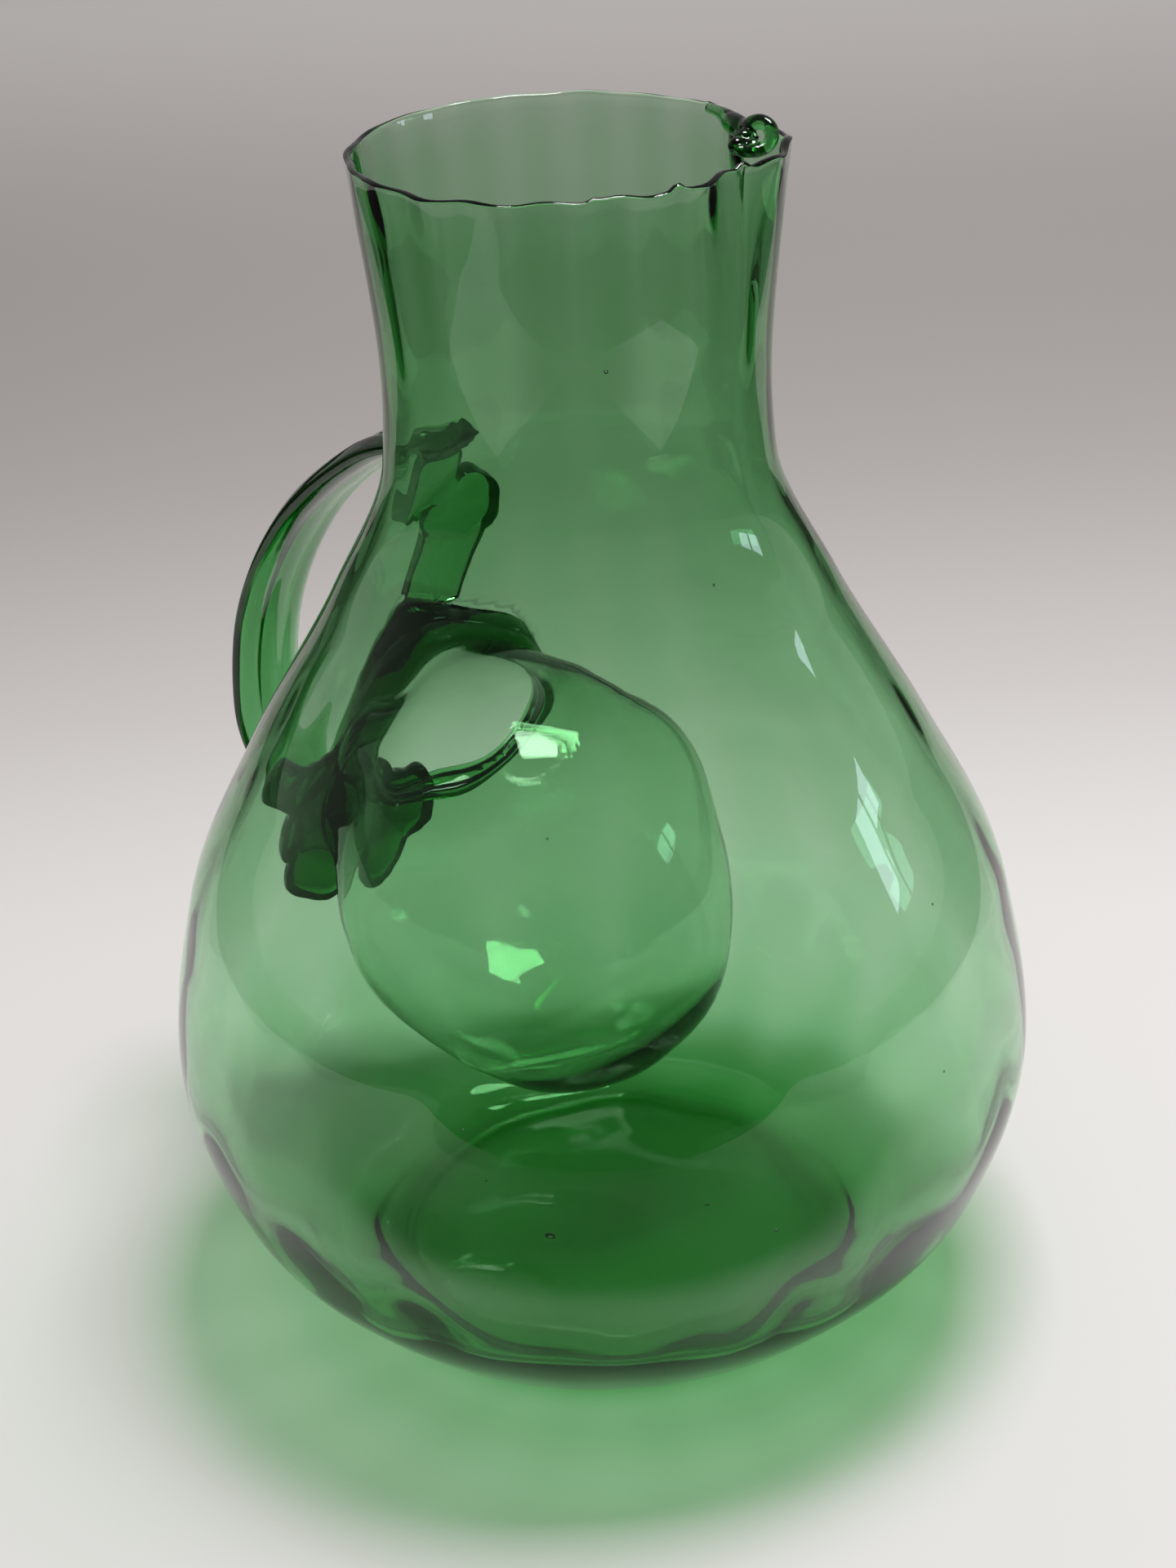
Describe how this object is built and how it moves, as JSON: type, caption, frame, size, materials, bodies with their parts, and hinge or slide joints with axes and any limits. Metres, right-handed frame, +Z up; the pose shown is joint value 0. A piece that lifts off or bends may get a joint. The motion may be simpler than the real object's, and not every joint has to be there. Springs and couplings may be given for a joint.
{
  "type": "glass cooling jug",
  "caption": "Blown glass jug with a pinched pouring lip, a strap handle, and an inner ice pocket that opens through the back wall.",
  "frame": {"origin": "centre of the flat foot, on the surface the jug stands on", "axes": "+Z up along the jug's axis, +X towards the pouring lip, +Y towards the back, where the pocket's mouth is"},
  "size_m": [0.1966, 0.1966, 0.2746],
  "materials": {
    "clear_green_glass": "clear blown glass",
    "thick_green_glass": "clear hot-worked glass"
  },
  "bodies": {
    "root": {"jug_body": "clear_green_glass", "jug_neck": "clear_green_glass", "spout_lip": "thick_green_glass", "ice_pocket": "clear_green_glass", "pocket_collar": "thick_green_glass", "handle_strap": "thick_green_glass", "handle_upper_tail": "thick_green_glass", "handle_lower_pad": "thick_green_glass"}
  },
  "joints": []
}
